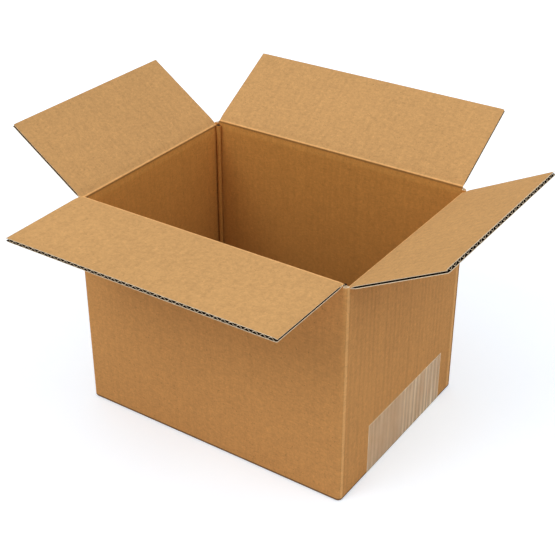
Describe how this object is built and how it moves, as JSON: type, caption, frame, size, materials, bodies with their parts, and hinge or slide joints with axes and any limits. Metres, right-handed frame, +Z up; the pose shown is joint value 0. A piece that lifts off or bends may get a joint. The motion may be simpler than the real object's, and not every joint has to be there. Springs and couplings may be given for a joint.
{
  "type": "open cardboard box",
  "caption": "Open rectangular shipping box of corrugated cardboard with hinged top flaps spread outwards and a taped bottom.",
  "frame": {"origin": "middle of the carton's footprint, on the surface that it stands on", "axes": "+Z up, X along the long panels, Y along the short panels, the front panel at -Y"},
  "size_m": [0.3245, 0.2821, 0.1987],
  "materials": {
    "cardboard": "matt brown kraft liner over corrugated fluting",
    "packing_tape": "clear slightly cloudy film with adhesive"
  },
  "bodies": {
    "carton": {"carton_body": "cardboard", "bottom_tape": "packing_tape"},
    "front_flap": {"front_top_flap": "cardboard"},
    "back_flap": {"back_top_flap": "cardboard"},
    "left_flap": {"left_top_flap": "cardboard"},
    "right_flap": {"right_top_flap": "cardboard"}
  },
  "joints": [
    {"name": "front_flap_hinge", "type": "hinge", "parent": "carton", "child": "front_flap", "pos_m": [0, -0.0771, 0.16145], "axis": [-1, 0, 0], "range_deg": [-39, 179.5]},
    {"name": "back_flap_hinge", "type": "hinge", "parent": "carton", "child": "back_flap", "pos_m": [0, 0.0771, 0.16145], "axis": [1, 0, 0], "range_deg": [-70.5, 149.5]},
    {"name": "left_flap_hinge", "type": "hinge", "parent": "carton", "child": "left_flap", "pos_m": [-0.1031, 0, 0.1584], "axis": [0, 1, 0], "range_deg": [-75, 145]},
    {"name": "right_flap_hinge", "type": "hinge", "parent": "carton", "child": "right_flap", "pos_m": [0.1031, 0, 0.1584], "axis": [0, -1, 0], "range_deg": [-67, 153]}
  ]
}
